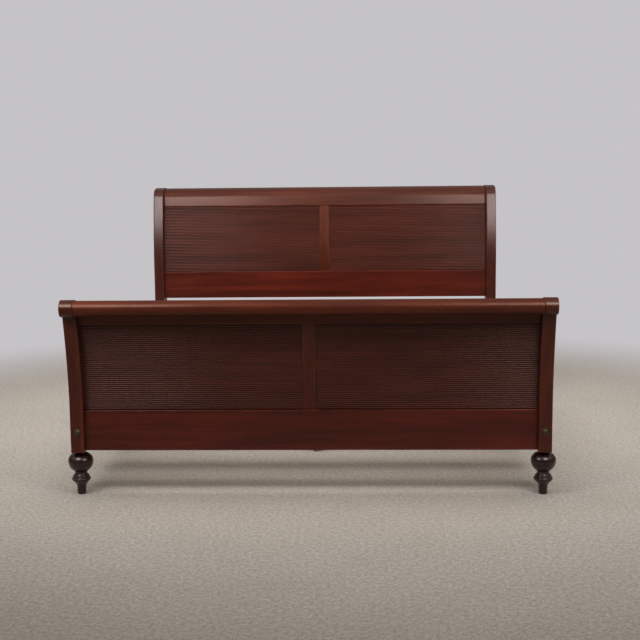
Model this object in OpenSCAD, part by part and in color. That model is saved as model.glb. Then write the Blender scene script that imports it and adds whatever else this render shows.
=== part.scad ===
// Sleigh bed, king size: scrolled posts, rolled crest rails, reeded panels, turned feet,
// side rails on bed bolts, and a slatted base on centre legs.
// +X is the bed's width, +Y runs from the footboard to the headboard, +Z is up.
// The origin is on the floor at the middle of the bed.

/* [Overall] */
// Width across the outer faces of the posts
bed_w = 2083; // [2060:1:2110]
// Length of the side rails, from footboard to headboard
rail_len = 2070; // [2050:1:2090]
// Height of the headboard's posts
head_h = 1288; // [1260:1:1320]
// Height of the footboard's posts
foot_h = 876; // [856:1:906]

/* [Posts] */
// Width of a post, across the bed
post_w = 57; // [54:0.5:60]
// Depth of a post below its curve
post_d = 100; // [98:0.5:104]
// How far below the top a post starts to curve outwards
curve_d = 470; // [440:1:480]
// How far the bed side of a post leans out at its neck
lean_in = 41; // [38:0.5:44]
// How far the outer side of a post leans out at its neck
lean_out = 57; // [54:0.5:60]
// Radius of the scroll at the top of a post
scroll_r = 36; // [34:0.5:38]
// Distance from a post's lower bed side to the centre of its scroll
scroll_o = 187; // [184:0.5:190]

/* [Crest rails] */
// Height of a crest rail, from its lower edge to the top of the post
crest_h = 113; // [110:0.5:116]
// How much smaller than the post's scroll the roll is
roll_step = 3; // [2.5:0.5:6]
// How far a crest rail's lower edge stands on the bed side of the panels' middle
crest_front = 14; // [13.5:0.5:16]
// Thickness of a crest rail at its lower edge
crest_t = 42; // [40:0.5:44]

/* [Panels and rails] */
// Thickness of a reeded panel
panel_t = 18; // [16:0.5:20]
// Height of a reed above the panel's ground
reed_h = 2.6; // [2:0.1:3]
// Reeds on each footboard panel
foot_reeds = 42; // [38:1:46]
// Reeds on each headboard panel
head_reeds = 43; // [38:1:46]
// Width of the centre stiles
stile_w = 58; // [54:0.5:62]
// Thickness of the centre stiles
stile_t = 26; // [22:0.5:27]
// Thickness of the bottom rails
rail_t = 44; // [42:0.5:46]
// Lower edge of the footboard's bottom rail
foot_rail_z = 200; // [198:1:204]
// Height of the footboard's bottom rail
foot_rail_h = 178; // [172:1:184]
// Lower edge of the headboard's bottom rail
head_rail_z = 618; // [610:1:626]
// Height of the headboard's bottom rail
head_rail_h = 161; // [150:1:168]

/* [Turned feet] */
// Height of a turned foot, from the floor to the post
turned_h = 194; // [193:0.5:196]
// Largest radius of the foot's bulb
bulb_r = 55; // [52:0.5:57]
// Largest radius of the foot's ring
ring_r = 41.5; // [40:0.5:43]
// Radius of the foot near the floor
toe_r = 18.5; // [17:0.5:19.5]

/* [Bed frame] */
// Thickness of the side rails
side_t = 38; // [36:0.5:40]
// Height of the side rails
side_h = 170; // [166:1:174]
// Distance from one slat to the next
slat_pitch = 320; // [300:5:320]
// Width of a slat
slat_w = 89; // [80:1:95]

/* [Bolt covers] */
// Radius of a bolt cover's disc
cover_r = 16; // [15:0.5:17]
// Height of the dome above the disc
dome_h = 7; // [5:0.5:8]
// Distance from the disc's centre up to its pivot
pivot_up = 22; // [21:0.5:24]

/* [Hidden] */

MAHOGANY = [0.30, 0.13, 0.09];
RAIL_RED = [0.36, 0.14, 0.10];
REED_BROWN = [0.25, 0.12, 0.09];
EBONISED = [0.13, 0.08, 0.07];
POPLAR = [0.72, 0.60, 0.43];
BRASS = [0.55, 0.47, 0.32];
STEEL = [0.60, 0.61, 0.62];

$fn = 48;
LEFT = -1;
RIGHT = 1;
inner_y = rail_len / 2;                // bed side of the posts, below their curve
post_x = bed_w / 2 - post_w / 2;       // middle of a post
field_x = bed_w / 2 - post_w;          // bed-side edge of a post, across the bed
post_mid = post_d / 2;

// A board is [post height, lower edge and height of its bottom rail, reeds, side that shows].
FOOT_BOARD = [foot_h, foot_rail_z, foot_rail_h, foot_reeds, 1];
HEAD_BOARD = [head_h, head_rail_z, head_rail_h, head_reeds, -1];
function top_z(b) = b[0];
function rail_bottom(b) = b[1];
function rail_top(b) = b[1] + b[2];
function reeds(b) = b[3];
function show_side(b) = b[4];
function crest_bottom(b) = top_z(b) - crest_h;

// Joinery
cut = 1;                               // how far a cut runs past the surface it starts from
fit_gap = 0.3;                         // air round a tenon or a tongue
tenon_l = 18;
tenon_t = 20;
rail_tenon_low = 30;                   // from the rail's lower edge up to its tenon
rail_tenon_high = 20;                  // from the tenon up to the rail's upper edge
crest_tenon_low = 95;                  // depths below the top of the post
crest_tenon_high = 52;
crest_tenon_o = 100;
crest_tenon_t = 26;
tongue = 8;
tongue_t = 10;
stile_tenon = 20;
stile_mortise_edge = 6;                // from the stile's edges in to its mortises
stile_tenon_edge = 12;                 // from the stile's edges in to its tenons
foot_tenon_r = 12.5;
foot_tenon_l = 28;

// ---------- the curve that posts, panels and stiles share ----------
neck_d = 96;                           // depth below the top where the curve meets the scroll
post_cove_r = 10;
curve_power = 1.7;
curve_steps = 14;
curve_span = curve_d - neck_d;
function sweep(d) = pow(max(0, (curve_d - d) / curve_span), curve_power);
function bed_side(d) = lean_in * sweep(d);
function outer_side(d) = post_d + lean_out * sweep(d);
function middle(d) = (bed_side(d) + outer_side(d)) / 2;
function slope_angle(lean) = atan(curve_power * lean / curve_span);
function arc(c, r, a0, a1, n) =
    [for (i = [0:n]) let (a = a0 + (a1 - a0) * i / n) c + r * [cos(a), sin(a)]];

// A cove of radius r that touches the line through p, b degrees from upright, and a scroll
function cove_centre(p, b, r, s, sr) =
    let (t = [sin(b), cos(b)], n = [cos(b), -sin(b)], q = p + r * n - s, qt = q * t)
    p + r * n - (qt + sqrt(qt * qt - q * q + (sr + r) * (sr + r))) * t;

// From the top of a scroll, round it, and through the cove below it
function scroll_and_cove(p, b, r, s, sr) =
    let (c = cove_centre(p, b, r, s, sr), v = s - c, a = atan2(v[1], v[0]))
    concat(arc(s, sr, 90, a - 180, 20), arc(c, r, a, 180 - b, 6));

// Bed side of the top: straight up to the shoulder, a degrees from upright, then an oval curve
// that ends level at the top of the scroll
shoulder_d = 60;                       // depth of the shoulder below the top
function post_fullness(b) = top_z(b) == head_h ? 3 : 1.7;    // 2 is an ellipse, more is squarer
function crest_fullness(b) = top_z(b) == head_h ? 2.2 : 1.7;
function top_line(start, a, end, fullness) =
    let (o = start[0] - (start[1] + shoulder_d) * tan(a), lean = shoulder_d * tan(a))
    concat([start], [for (i = [0:16])
        let (t = 90 * i / 16, u = pow(cos(t), 2 / fullness), v = pow(sin(t), 2 / fullness))
        [o + (end[0] - o) * (1 - u) + lean * v * cos(t), -shoulder_d + (end[1] + shoulder_d) * v]]);

function lift(points, z) = [for (p = points) [p[0], p[1] + z]];

// Upper outline, with the top of the post at height 0
function post_crown(b) = concat(
    top_line([bed_side(neck_d), -neck_d], slope_angle(lean_in), [scroll_o, 0], post_fullness(b)),
    scroll_and_cove([outer_side(neck_d), -neck_d], slope_angle(lean_out), post_cove_r,
                    [scroll_o, -scroll_r], scroll_r));

function post_outline(b) = let (t = top_z(b)) concat(
    [[0, turned_h]],
    [for (i = [0:curve_steps - 1]) let (d = curve_d - curve_span * i / curve_steps)
        [bed_side(d), t - d]],
    lift(post_crown(b), t),
    [for (i = [curve_steps:-1:0]) let (d = curve_d - curve_span * i / curve_steps)
        [outer_side(d), t - d]],
    [[post_d, turned_h]]);

crest_lean = 8;
crest_cove_r = 12;
crest_in = middle(crest_h) - crest_front;
function crest_outline(b) = concat(
    top_line([crest_in, -crest_h], crest_lean, [scroll_o, -roll_step], crest_fullness(b)),
    scroll_and_cove([crest_in + crest_t, -crest_h], slope_angle(lean_out), crest_cove_r,
                    [scroll_o, -scroll_r], scroll_r - roll_step),
    [[crest_in + crest_t, -crest_h]]);

// A curved strip of thickness w round the middle of the post, between two heights
strip_steps = 16;
function strip(t, z0, z1, w) = concat(
    [for (i = [0:strip_steps]) let (z = z0 + (z1 - z0) * i / strip_steps)
        [middle(t - z) - w / 2, z]],
    [for (i = [strip_steps:-1:0]) let (z = z0 + (z1 - z0) * i / strip_steps)
        [middle(t - z) + w / 2, z]]);

// ---------- placing ----------
// Lays an outline of [distance outwards, height] across the bed, from x0 to x1
module across(x0, x1) {
    translate([x0, 0, 0]) rotate([90, 0, 90]) linear_extrude(x1 - x0) children();
}
// Carries a piece drawn outwards from y = 0 to the headboard or the footboard
module at_board(b) {
    if (b == HEAD_BOARD) translate([0, inner_y, 0]) children();
    else mirror([0, 1, 0]) translate([0, inner_y, 0]) children();
}
// A cylinder along y, from y0 to y1
module rod_y(r, y0, y1, x = 0, z = 0) {
    translate([x, y0, z]) rotate([-90, 0, 0]) cylinder(h = y1 - y0, r = r);
}
module at_corners() {
    for (b = [FOOT_BOARD, HEAD_BOARD], s = [LEFT, RIGHT])
        at_board(b) translate([s * post_x, 0, 0]) children();
}

// ---------- bed bolt, drawn along y with y = 0 at the bed side of the post ----------
bolt_z = foot_rail_z + side_h / 2;
bolt_r = 5;
bolt_hole_r = 5.5;
recess_r = 13;
recess_l = 22;
washer_t = 2;
washer_r = 11.5;
washer_gap = 0.4;
bolt_seat = post_d - recess_l;
bolt_reach = 62;
bolt_spare = 8;                        // how much deeper than the bolt its hole is
head_af = 15;
head_l = 8;
nut_y = -45;
nut_r = 8;
nut_l = 26;
nut_wall = 5;                          // wood left outside the barrel nut's hole
nut_gap = 0.1;
dowel_r = 5;
dowel_half = 20;
dowel_gap = 0.1;
dowel_up = 50;
screw_r = 1.55;
screw_hole_r = 1.6;
screw_l = 16;
cover_gap = 0.3;
cover_t = 1.4;

// ---------- headboard and footboard ----------
function rail_tenon_h(b) = rail_top(b) - rail_bottom(b) - rail_tenon_low - rail_tenon_high;
// A mortise cut in x from x = 0, and the tenons at both ends of a rail that go into it
module mortise(o, z, t, h) {
    translate([-cut, o - fit_gap, z - fit_gap])
        cube([cut + tenon_l + fit_gap, t + 2 * fit_gap, h + 2 * fit_gap]);
}
module tenons(o, z, t, h) {
    for (s = [LEFT, RIGHT])
        translate([s < 0 ? -field_x - tenon_l : field_x, o, z]) cube([tenon_l, t, h]);
}

module post(b, s) {
    color(MAHOGANY) at_board(b) difference() {
        across(s * post_x - post_w / 2, s * post_x + post_w / 2) polygon(post_outline(b));
        // panel groove, and mortises for the bottom rail and the crest rail
        translate([s * field_x, 0, 0]) mirror([s < 0 ? 1 : 0, 0, 0]) {
            across(-cut, tongue + fit_gap)
                polygon(strip(top_z(b), rail_top(b) - tongue - fit_gap,
                              crest_bottom(b) + tongue + fit_gap, tongue_t + 2 * fit_gap));
            mortise(post_mid - tenon_t / 2, rail_bottom(b) + rail_tenon_low, tenon_t,
                    rail_tenon_h(b));
            mortise(crest_tenon_o, top_z(b) - crest_tenon_low, crest_tenon_t,
                    crest_tenon_low - crest_tenon_high);
        }
        translate([s * post_x, 0, 0]) {
            // socket for the turned foot
            translate([0, post_mid, turned_h - cut])
                cylinder(h = cut + foot_tenon_l + 1, r = foot_tenon_r + fit_gap);
            // bed bolt with its recess, rail dowels, and the cover's screw
            rod_y(bolt_hole_r, -cut, post_d, z = bolt_z);
            rod_y(recess_r, bolt_seat, post_d + cut, z = bolt_z);
            for (k = [-1, 1])
                rod_y(dowel_r + dowel_gap, -cut, dowel_half + fit_gap, z = bolt_z + k * dowel_up);
            rod_y(screw_hole_r, post_d - screw_l - fit_gap, post_d + cut, z = bolt_z + pivot_up);
        }
    }
}
stile_mortise_x = stile_w / 2 - stile_mortise_edge + fit_gap;
module crest_rail(b) {
    color(MAHOGANY) at_board(b) {
        difference() {
            across(-field_x, field_x) difference() {
                polygon(lift(crest_outline(b), top_z(b)));
                polygon(strip(top_z(b), crest_bottom(b) - cut, crest_bottom(b) + tongue + fit_gap,
                              tongue_t + 2 * fit_gap));
            }
            across(-stile_mortise_x, stile_mortise_x)
                polygon(strip(top_z(b), crest_bottom(b) - cut,
                              crest_bottom(b) + stile_tenon + fit_gap,
                              tongue_t + 2 * fit_gap));
        }
        tenons(crest_tenon_o, top_z(b) - crest_tenon_low, crest_tenon_t,
               crest_tenon_low - crest_tenon_high);
    }
}

module bottom_rail(b) {
    color(RAIL_RED) at_board(b) {
        difference() {
            translate([-field_x, post_mid - rail_t / 2, rail_bottom(b)])
                cube([2 * field_x, rail_t, rail_top(b) - rail_bottom(b)]);
            translate([-field_x - cut, post_mid - tongue_t / 2 - fit_gap,
                       rail_top(b) - tongue - fit_gap])
                cube([2 * (field_x + cut), tongue_t + 2 * fit_gap, tongue + fit_gap + cut]);
            translate([-stile_mortise_x, post_mid - tongue_t / 2 - fit_gap,
                       rail_top(b) - stile_tenon - fit_gap])
                cube([2 * stile_mortise_x, tongue_t + 2 * fit_gap, stile_tenon + fit_gap + cut]);
        }
        tenons(post_mid - tenon_t / 2, rail_bottom(b) + rail_tenon_low, tenon_t, rail_tenon_h(b));
    }
}

// One face of reeds, as half ellipses that stand out from the curve to the side that shows
reed_facets = 5;
function reed_line(b, z0, z1) =
    let (pitch = (z1 - z0) / reeds(b))
    [for (i = [0:reeds(b) - 1], k = [0:reed_facets - 1])
        let (a = 180 * k / reed_facets, z = z0 + pitch * (i + (1 - cos(a)) / 2),
             out = panel_t / 2 - reed_h * (1 - sin(a)))
        [middle(top_z(b) - z) + show_side(b) * out, z]];
function panel_outline(b) =
    let (t = top_z(b), z0 = rail_top(b) + fit_gap, z1 = crest_bottom(b) - fit_gap,
         w = tongue_t / 2, s = show_side(b), back = panel_t / 2)
    concat(
        reed_line(b, z0, z1),
        [[middle(t - z1) + s * (back - reed_h), z1], [middle(t - z1) + s * w, z1],
         [middle(t - z1 - tongue) + s * w, z1 + tongue],
         [middle(t - z1 - tongue) - s * w, z1 + tongue], [middle(t - z1) - s * w, z1]],
        [for (i = [strip_steps:-1:0]) let (z = z0 + (z1 - z0) * i / strip_steps)
            [middle(t - z) - s * back, z]],
        [[middle(t - z0) - s * w, z0], [middle(t - z0) - s * w, z0 - tongue],
         [middle(t - z0) + s * w, z0 - tongue], [middle(t - z0) + s * w, z0]]);

module panel(b, s) {
    x0 = stile_w / 2 + fit_gap;
    x1 = field_x - fit_gap;
    tongue_z0 = rail_top(b) + fit_gap - tongue;
    tongue_z1 = crest_bottom(b) - fit_gap + tongue;
    color(REED_BROWN) at_board(b) mirror([s < 0 ? 1 : 0, 0, 0]) {
        across(x0, x1) polygon(panel_outline(b));
        across(x0 - tongue, x0) polygon(strip(top_z(b), tongue_z0, tongue_z1, tongue_t));
        across(x1, x1 + tongue) polygon(strip(top_z(b), tongue_z0, tongue_z1, tongue_t));
    }
}

module center_stile(b) {
    color(MAHOGANY) at_board(b) {
        difference() {
            across(-stile_w / 2, stile_w / 2)
                polygon(strip(top_z(b), rail_top(b), crest_bottom(b), stile_t));
            for (s = [0, 1]) mirror([s, 0, 0])
                across(stile_w / 2 - tongue - fit_gap, stile_w / 2 + cut)
                    polygon(strip(top_z(b), rail_top(b) - cut, crest_bottom(b) + cut,
                                  tongue_t + 2 * fit_gap));
        }
        across(stile_tenon_edge - stile_w / 2, stile_w / 2 - stile_tenon_edge)
            polygon(strip(top_z(b), rail_top(b) - stile_tenon, crest_bottom(b) + stile_tenon,
                          tongue_t));
    }
}

// ---------- turned feet ----------
bulb_z = 150;                          // height of the bulb's widest place
bulb_up = 40;
bulb_down = 54;
waist_r = 26.5;
waist_z = 95;
ring_z = 70;                           // height of the ring's lip
lip_round = 4.5;
bead_in = 5.5;                         // how far inside the lip the bead above it stands
bead_r = 6.5;
bead_z = 80;
ankle_r = 20;
ankle_z = 34;
neck_r = 24;                           // the short neck between the bulb and the post
neck_h = 3;
toe_round = 3;
flare_power = 1.7;
function flare(z0, r0, z1, r1, n) =
    [for (i = [0:n]) let (f = i / n) [r0 + (r1 - r0) * pow(f, flare_power), z0 + (z1 - z0) * f]];
foot_outline = concat(
    [[0, 0], [toe_r - toe_round, 0], [toe_r - toe_round / 4, toe_round / 2], [toe_r, toe_round * 1.5]],
    flare(ankle_z, ankle_r, ring_z - 2 * lip_round, ring_r - 0.8 * lip_round, 7),
    arc([ring_r - lip_round, ring_z], lip_round, -50, 50, 4),
    arc([ring_r - bead_in - bead_r, bead_z], bead_r, -35, 60, 4),
    [[waist_r + 2, waist_z - 4], [waist_r, waist_z]],
    [for (a = [-60:12:72]) [bulb_r * cos(a), bulb_z + (a < 0 ? bulb_down : bulb_up) * sin(a)]],
    [[neck_r, turned_h - neck_h], [neck_r, turned_h], [foot_tenon_r, turned_h],
     [foot_tenon_r, turned_h + foot_tenon_l], [0, turned_h + foot_tenon_l]]);

module turned_foot(b, s) {
    color(EBONISED) at_board(b) translate([s * post_x, post_mid, 0])
        rotate_extrude() polygon(foot_outline);
}

// ---------- side rails and slatted base ----------
side_z = foot_rail_z;
side_in = post_x - side_t / 2;
ledger_t = 25;
ledger_h = 38;
ledger_up = 6;                         // from the side rail's lower edge up to the ledger
ledger_end = 50;                       // from the ledger's ends to the posts
ledger_z = side_z + ledger_up;
ledger_l = rail_len - 2 * ledger_end;
slat_n = 7;
slat_t = 19;
slat_z = ledger_z + ledger_h;
slat_play = 4;
slat_half = side_in - slat_play;
leg_n = 3;
leg_w = 45;
leg_z = 25;
wood_screw_r = 2;
wood_hole_r = 2.1;
ledger_screw_n = 6;
ledger_screw_pitch = 340;
slat_screw_x = side_in - ledger_t / 2;

function slat_y(i) = (i - (slat_n + 1) / 2) * slat_pitch;
function leg_y(i) = (i - (leg_n + 1) / 2) * slat_pitch;

// A countersunk screw that points down from its head at z = 0
sink_h = 3;                            // height of a countersunk head, and how far it flares
sink_flare = 2.4;
tip_l = 4;
tip_r = 0.4;
sink_gap = 0.1;                        // air round a screw
module wood_screw(l, r = wood_screw_r) {
    translate([0, 0, -sink_h]) cylinder(h = sink_h, r1 = r, r2 = r + sink_flare);
    translate([0, 0, -l]) cylinder(h = l - sink_h / 2, r = r);
    translate([0, 0, -l - tip_l]) cylinder(h = tip_l, r1 = tip_r, r2 = r);
}
module wood_screw_hole(l, r = wood_hole_r) {
    sunk = sink_h + 2 * sink_gap;
    translate([0, 0, sink_gap - sunk])
        cylinder(h = sunk, r1 = r, r2 = r + sink_flare * sunk / sink_h);
    translate([0, 0, -l - tip_l - cut]) cylinder(h = l + tip_l + 2 * cut, r = r);
}
module at_ledger_screws(s) {
    for (i = [0:ledger_screw_n - 1])
        translate([s * (side_in - ledger_t), (i - (ledger_screw_n - 1) / 2) * ledger_screw_pitch,
                   ledger_z + ledger_h / 2])
            rotate([0, -s * 90, 0]) children();
}
module at_slat_screws(i) {
    for (s = [LEFT, RIGHT])
        translate([s * slat_screw_x, slat_y(i), slat_z + slat_t]) children();
}
ledger_screw_l = 36;
slat_screw_l = 30;
leg_screw_l = 60;
leg_screw_r = 2.5;
leg_hole_r = 2.6;

module side_rail(s) {
    color(RAIL_RED) difference() {
        translate([s * post_x - side_t / 2, -inner_y, side_z]) cube([side_t, rail_len, side_h]);
        for (b = [FOOT_BOARD, HEAD_BOARD]) at_board(b) translate([s * post_x, 0, bolt_z]) {
            rod_y(bolt_hole_r, -bolt_reach - bolt_spare, cut);
            for (k = [-1, 1])
                rod_y(dowel_r + dowel_gap, -dowel_half - fit_gap, cut, z = k * dowel_up);
            // the barrel nut's hole is drilled from the inner face and stops short of the outer
            translate([-s * (side_t / 2 + cut), nut_y, 0]) rotate([0, s * 90, 0])
                cylinder(h = cut + side_t - nut_wall, r = nut_r + nut_gap);
        }
        at_ledger_screws(s) wood_screw_hole(ledger_screw_l);
    }
}

module ledger(s) {
    color(POPLAR) difference() {
        translate([s > 0 ? side_in - ledger_t : -side_in, -ledger_l / 2, ledger_z])
            cube([ledger_t, ledger_l, ledger_h]);
        at_ledger_screws(s) wood_screw_hole(ledger_screw_l);
        for (i = [1:slat_n]) at_slat_screws(i) wood_screw_hole(slat_screw_l);
    }
}

module slat(i) {
    color(POPLAR) difference() {
        translate([-slat_half, slat_y(i) - slat_w / 2, slat_z])
            cube([2 * slat_half, slat_w, slat_t]);
        at_slat_screws(i) wood_screw_hole(slat_screw_l);
        if (abs(slat_y(i)) < leg_n / 2 * slat_pitch)
            translate([0, slat_y(i), slat_z + slat_t]) wood_screw_hole(leg_screw_l, leg_hole_r);
    }
}

glide_r = 19;
glide_h = 10;
glide_lip = 2;                         // the rounded lower edge of a glide
glide_edge_h = 5;
glide_slope = 5;
stem_r = 4;
stem_top = 58;
stem_gap = 0.1;
hex_r = 7.5;
hex_h = 6;
weld = 0.5;                            // how far joined shapes run into each other
module support_leg(i) {
    color(POPLAR) translate([0, leg_y(i), 0]) difference() {
        translate([-leg_w / 2, -leg_w / 2, leg_z]) cube([leg_w, leg_w, slat_z - leg_z]);
        translate([0, 0, slat_z + slat_t]) wood_screw_hole(leg_screw_l, leg_hole_r);
        translate([0, 0, leg_z - cut])
            cylinder(h = stem_top - leg_z + 2 * cut, r = stem_r + stem_gap);
    }
}

module leg_glides() {
    color(STEEL) for (i = [1:leg_n]) translate([0, leg_y(i), 0]) {
        rotate_extrude() polygon(concat(
            [[0, 0], [glide_r - glide_lip, 0]],
            arc([glide_r - glide_lip, glide_lip], glide_lip, -60, 0, 3),
            [[glide_r, glide_edge_h], [glide_r - glide_slope, glide_h], [0, glide_h]]));
        translate([0, 0, glide_h - weld]) cylinder(h = stem_top - glide_h + weld, r = stem_r);
        translate([0, 0, glide_h - weld]) cylinder(h = hex_h + weld, r = hex_r, $fn = 6);
    }
}

// ---------- fasteners ----------
module bed_bolts() {
    color(STEEL) at_corners() translate([0, 0, bolt_z]) {
        rod_y(bolt_r, -bolt_reach, bolt_seat + washer_t + cut);
        translate([0, bolt_seat + washer_t, 0]) rotate([-90, 0, 0])
            cylinder(h = head_l, r = head_af / sqrt(3), $fn = 6);
    }
}
module bolt_washers() {
    color(STEEL) at_corners() translate([0, 0, bolt_z]) difference() {
        rod_y(washer_r, bolt_seat, bolt_seat + washer_t);
        rod_y(bolt_r + washer_gap, bolt_seat - cut, bolt_seat + washer_t + cut);
    }
}
module barrel_nuts() {
    color(STEEL) at_corners() translate([0, nut_y, bolt_z]) difference() {
        translate([-nut_l / 2, 0, 0]) rotate([0, 90, 0]) cylinder(h = nut_l, r = nut_r);
        rod_y(bolt_r + nut_gap, -nut_r - cut, nut_r + cut);
    }
}
module rail_dowels() {
    color(POPLAR) at_corners() for (k = [-1, 1])
        rod_y(dowel_r, -dowel_half, dowel_half, z = bolt_z + k * dowel_up);
}
module ledger_screws() {
    color(STEEL) for (s = [LEFT, RIGHT]) at_ledger_screws(s) wood_screw(ledger_screw_l);
}
module slat_screws() {
    color(STEEL) for (i = [1:slat_n]) at_slat_screws(i) wood_screw(slat_screw_l);
}
module leg_screws() {
    color(STEEL) for (i = [1:leg_n]) translate([0, leg_y(i), slat_z + slat_t])
        wood_screw(leg_screw_l, leg_screw_r);
}
screw_head_r = 3.4;
screw_head_edge = 0.5;
screw_head_h = 1.7;
module cover_screws() {
    head_y = post_d + 2 * cover_gap + cover_t;
    color(BRASS) at_corners() translate([0, 0, bolt_z + pivot_up]) {
        rod_y(screw_r, post_d - screw_l, head_y + screw_head_edge);
        translate([0, head_y, 0]) rotate([-90, 0, 0]) rotate_extrude()
            polygon(concat([[0, 0], [screw_head_r, 0]],
                [for (a = [0:15:90]) [screw_head_r * cos(a), screw_head_edge + screw_head_h * sin(a)]]));
    }
}

// ---------- bolt cover: a stamped dome with an ear at its pivot and a small drop below ----------
dome_r = 12.6;
dome_t = 1.5;                          // thickness of the stamped dome
rim_round = 0.6;
rim_flat = 0.4;
dome_t_top = 1.2;
drop_out = 1.5;                        // from the disc's edge out to the drop's middle
ear_r = 5;
neck_w = 7.5;
drop_r = 3.2;
module bolt_cover(b, s) {
    color(BRASS) at_board(b)
        translate([s * post_x, post_d + cover_gap, bolt_z]) rotate([-90, 0, 0]) {
            rotate_extrude() polygon(concat(
                [[dome_r - dome_t, 0], [cover_r, 0], [cover_r, cover_t - rim_round],
                 [cover_r - rim_round, cover_t], [dome_r + rim_flat, cover_t]],
                [for (a = [0:10:90]) [dome_r * cos(a), cover_t + dome_h * sin(a)]],
                [for (a = [90:-10:10])
                    [(dome_r - dome_t) * cos(a), (dome_h + cover_t - dome_t_top) * sin(a)]]));
            linear_extrude(cover_t) difference() {
                union() {
                    translate([0, -pivot_up]) circle(r = ear_r);
                    translate([-neck_w / 2, -pivot_up]) square([neck_w, pivot_up - dome_r - cut]);
                    translate([0, cover_r + drop_out]) circle(r = drop_r);
                }
                translate([0, -pivot_up]) circle(r = screw_hole_r);
            }
        }
}

post(FOOT_BOARD, LEFT);  // foot_post_left
post(FOOT_BOARD, RIGHT);  // foot_post_right
crest_rail(FOOT_BOARD);  // foot_crest_rail
panel(FOOT_BOARD, LEFT);  // foot_panel_left
panel(FOOT_BOARD, RIGHT);  // foot_panel_right
center_stile(FOOT_BOARD);  // foot_center_stile
bottom_rail(FOOT_BOARD);  // foot_bottom_rail
post(HEAD_BOARD, LEFT);  // head_post_left
post(HEAD_BOARD, RIGHT);  // head_post_right
crest_rail(HEAD_BOARD);  // head_crest_rail
panel(HEAD_BOARD, LEFT);  // head_panel_left
panel(HEAD_BOARD, RIGHT);  // head_panel_right
center_stile(HEAD_BOARD);  // head_center_stile
bottom_rail(HEAD_BOARD);  // head_bottom_rail
turned_foot(FOOT_BOARD, LEFT);  // turned_foot_front_left
turned_foot(FOOT_BOARD, RIGHT);  // turned_foot_front_right
turned_foot(HEAD_BOARD, LEFT);  // turned_foot_rear_left
turned_foot(HEAD_BOARD, RIGHT);  // turned_foot_rear_right
side_rail(LEFT);  // side_rail_left
side_rail(RIGHT);  // side_rail_right
ledger(LEFT);  // ledger_left
ledger(RIGHT);  // ledger_right
slat(1);  // slat_1
slat(2);  // slat_2
slat(3);  // slat_3
slat(4);  // slat_4
slat(5);  // slat_5
slat(6);  // slat_6
slat(7);  // slat_7
support_leg(1);  // support_leg_1
support_leg(2);  // support_leg_2
support_leg(3);  // support_leg_3
leg_glides();
bed_bolts();
bolt_washers();
barrel_nuts();
rail_dowels();
ledger_screws();
slat_screws();
leg_screws();
cover_screws();
bolt_cover(FOOT_BOARD, LEFT);  // bolt_cover_front_left
bolt_cover(FOOT_BOARD, RIGHT);  // bolt_cover_front_right
bolt_cover(HEAD_BOARD, LEFT);  // bolt_cover_rear_left
bolt_cover(HEAD_BOARD, RIGHT);  // bolt_cover_rear_right
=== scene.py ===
"""King-size sleigh bed in dark mahogany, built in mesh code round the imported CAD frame.

Every length is in metres. +X is the bed's width, +Y runs from the footboard to the headboard and
+Z is up. The two boards are drawn as (outwards, height) outlines, outwards being the distance from
the bed side of a post, and Board.point() puts such a point in its place.
"""
import math

import bmesh
import bpy
from mathutils import Matrix, Vector


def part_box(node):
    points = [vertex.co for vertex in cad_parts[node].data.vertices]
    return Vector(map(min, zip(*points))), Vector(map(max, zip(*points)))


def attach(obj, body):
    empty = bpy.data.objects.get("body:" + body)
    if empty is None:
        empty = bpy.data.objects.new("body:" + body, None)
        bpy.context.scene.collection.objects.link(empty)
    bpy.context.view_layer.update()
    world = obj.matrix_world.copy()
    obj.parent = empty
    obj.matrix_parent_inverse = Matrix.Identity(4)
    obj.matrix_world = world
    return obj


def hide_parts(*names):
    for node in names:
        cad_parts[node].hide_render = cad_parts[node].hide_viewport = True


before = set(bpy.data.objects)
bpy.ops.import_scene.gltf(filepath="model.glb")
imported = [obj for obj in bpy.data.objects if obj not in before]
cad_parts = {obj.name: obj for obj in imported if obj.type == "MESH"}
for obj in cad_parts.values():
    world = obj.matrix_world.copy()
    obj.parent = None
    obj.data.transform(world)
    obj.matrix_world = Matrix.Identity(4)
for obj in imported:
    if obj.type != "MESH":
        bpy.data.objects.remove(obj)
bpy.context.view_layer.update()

# ---------------------------------------------------------------- sizes
LEFT, RIGHT = -1, 1
SIDES = {LEFT: "left", RIGHT: "right"}
post_low, post_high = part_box("foot_post_right")
POST_W = post_high.x - post_low.x
POST_X = (post_low.x + post_high.x) / 2
FIELD_X = POST_X - POST_W / 2
INNER_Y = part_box("side_rail_right")[1].y
POST_BOTTOM = post_low.z
POST_D = 0.100
CURVE_D = 0.470                         # depths below the top: where the curve starts,
NECK_D = 0.096                          # where it ends under the scroll,
SHOULDER_D = 0.060                      # and where the bed side turns over
CURVE_POWER = 1.7
LEAN_IN = 0.041
LEAN_OUT = 0.057
SCROLL_R = 0.036
SCROLL_O = 0.187
POST_COVE_R = 0.010
CREST_H = 0.113
CREST_T = 0.042
CREST_FRONT = 0.014
CREST_STEP = 0.003                      # how far the crest rail's roll lies inside the posts'
CREST_COVE_R = 0.012
CREST_LEAN = math.radians(8)
PANEL_T = 0.018
PANEL_OVERLAP = 0.004                   # how far a panel and a stile run into the rails
STILE_OVERLAP = 0.002
REED_H = 0.0026
# A reed is painted darker, as painted shade, from its groove up to REED_SHADED_TO of its height.
REED_RUB, REED_RUB_FROM, REED_SHADED_TO = 0.6, 0.8, 0.75    # parts of a reed's height
STILE_W = 0.058
STILE_T = 0.026
RAIL_T = 0.044
BOLT_Z = (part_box("bed_bolts")[0].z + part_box("bed_bolts")[1].z) / 2
RECESS_R = 0.013
RECESS_L = 0.022
PIVOT_UP = 0.022
COVER_GAP = 0.0003

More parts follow.
